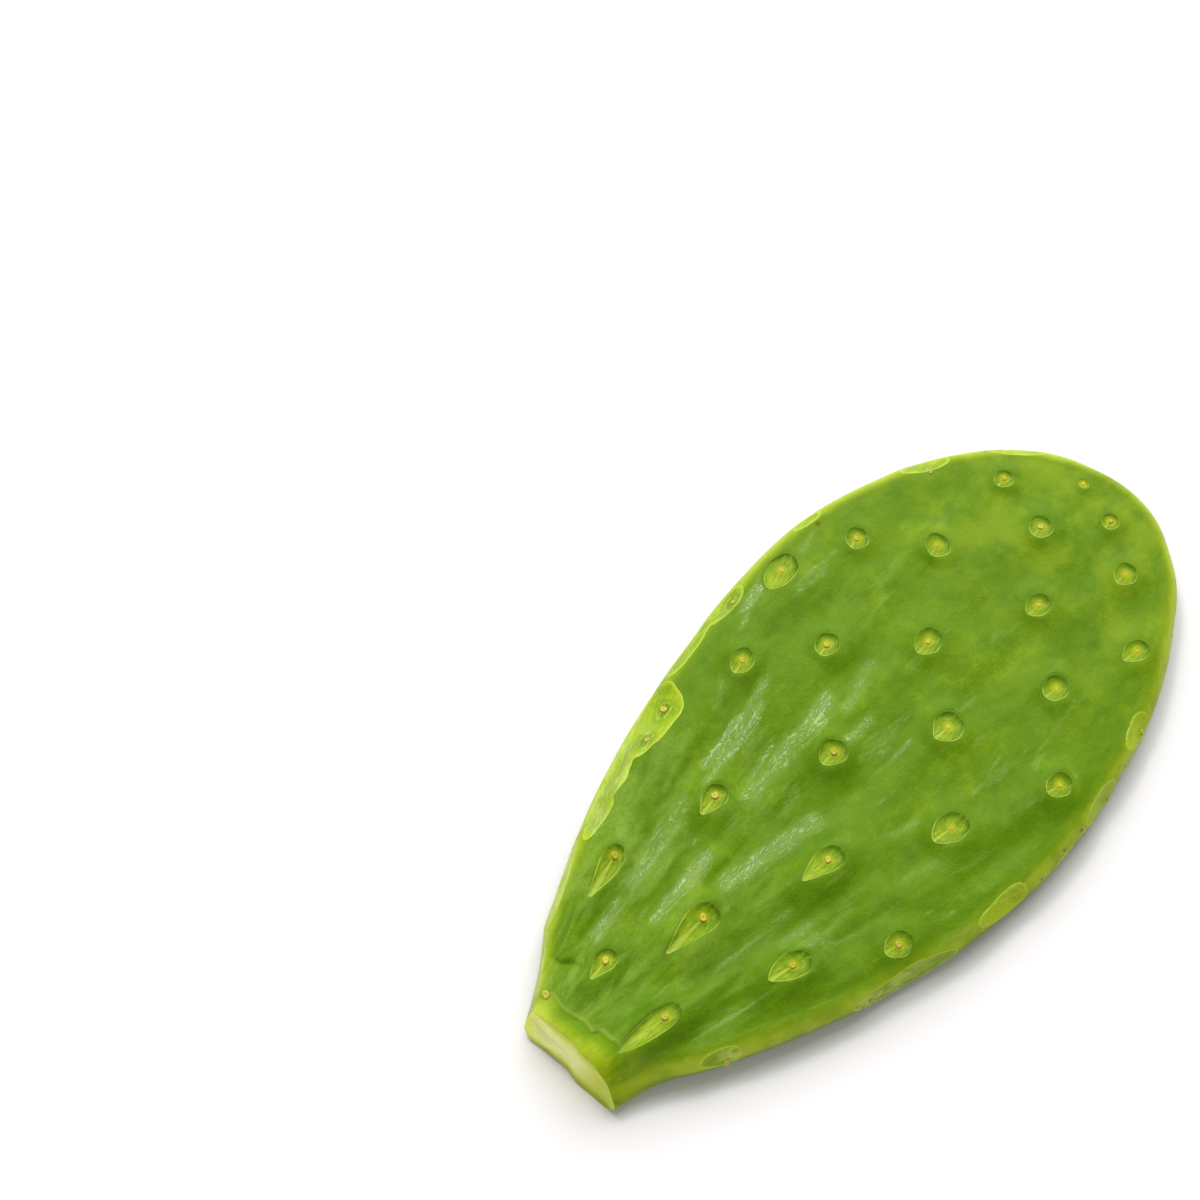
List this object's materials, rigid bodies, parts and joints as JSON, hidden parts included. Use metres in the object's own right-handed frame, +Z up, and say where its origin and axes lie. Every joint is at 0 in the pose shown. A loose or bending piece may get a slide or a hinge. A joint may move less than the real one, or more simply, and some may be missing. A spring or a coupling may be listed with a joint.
{
  "type": "prickly pear cactus pad",
  "caption": "Flat egg-shaped prickly pear pad, cut at its stem end and despined, with low shaved mounds on both faces and a rounded rim.",
  "frame": {"origin": "middle of the pad's outline, on the surface that it lies on", "axes": "+Y from the cut stem end to the tip, +X across the pad to the right seen from above, +Z up out of the face that has the spine stubs"},
  "size_m": [0.1074, 0.2084, 0.0129],
  "materials": {
    "cactus_skin": "satin, waxy mid-green plant skin, yellow-green at the rim and the cuts"
  },
  "bodies": {
    "root": {"nopal_pad": "cactus_skin"}
  },
  "joints": []
}
